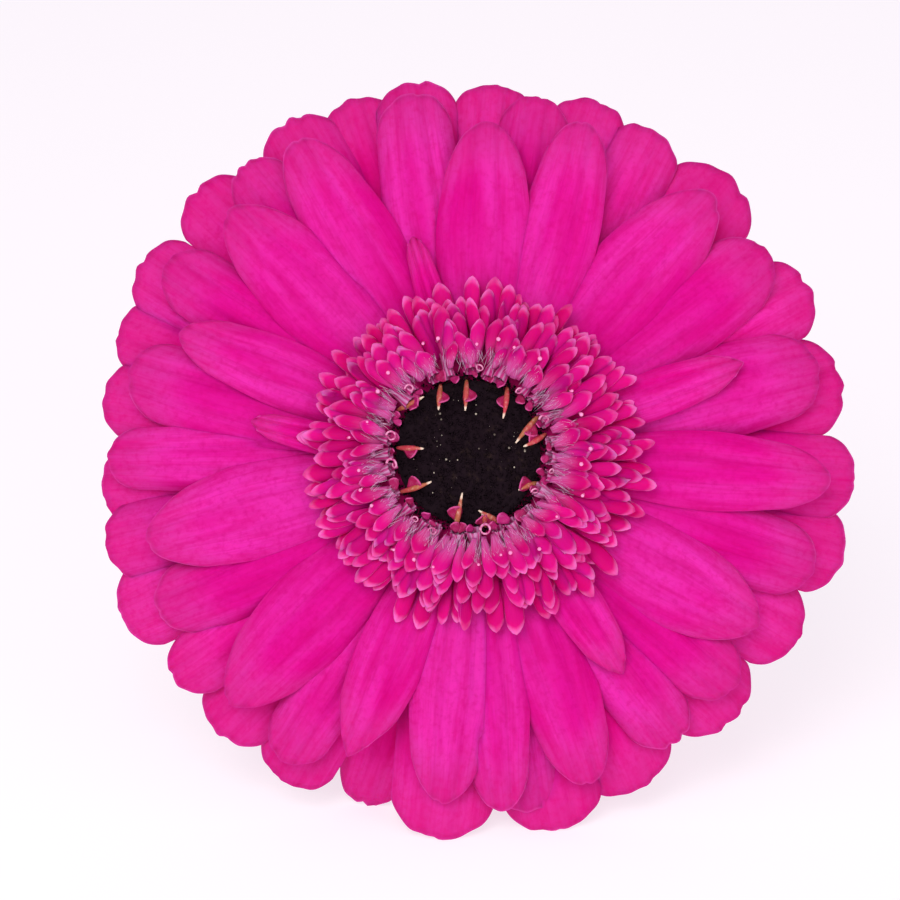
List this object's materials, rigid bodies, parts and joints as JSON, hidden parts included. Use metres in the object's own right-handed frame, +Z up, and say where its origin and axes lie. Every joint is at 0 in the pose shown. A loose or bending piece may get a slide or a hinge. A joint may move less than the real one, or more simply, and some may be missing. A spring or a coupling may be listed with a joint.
{
  "type": "cut gerbera",
  "caption": "Cut daisy-like flower lying on a surface: layered magenta ray florets round a collar of short pointed florets and a dark disc, on a green bract cup and a short slanted stem",
  "frame": {"origin": "middle of the flower's box, on the surface that it lies on", "axes": "+Z up; the face of the bloom looks along -Y and 21.8 degrees up; the stem runs back along +Y"},
  "size_m": [0.11, 0.1398, 0.1013],
  "materials": {
    "ray_florets": "fresh satin petal, faint lengthwise veins and furrows",
    "trans_florets": "satin petal, deep pink with paler tips and edges",
    "open_florets": "soft curled tubes, pale pink with orange anthers",
    "disc_florets": "matt, bristly, nearly black",
    "involucre": "matt green leaf with fine pale hairs",
    "stem": "matt ribbed green stalk with fine pale hairs"
  },
  "bodies": {
    "root": {"ray_florets": "ray_florets", "trans_florets": "trans_florets", "open_florets": "open_florets", "disc_florets": "disc_florets", "involucre": "involucre", "stem": "stem"}
  },
  "joints": []
}
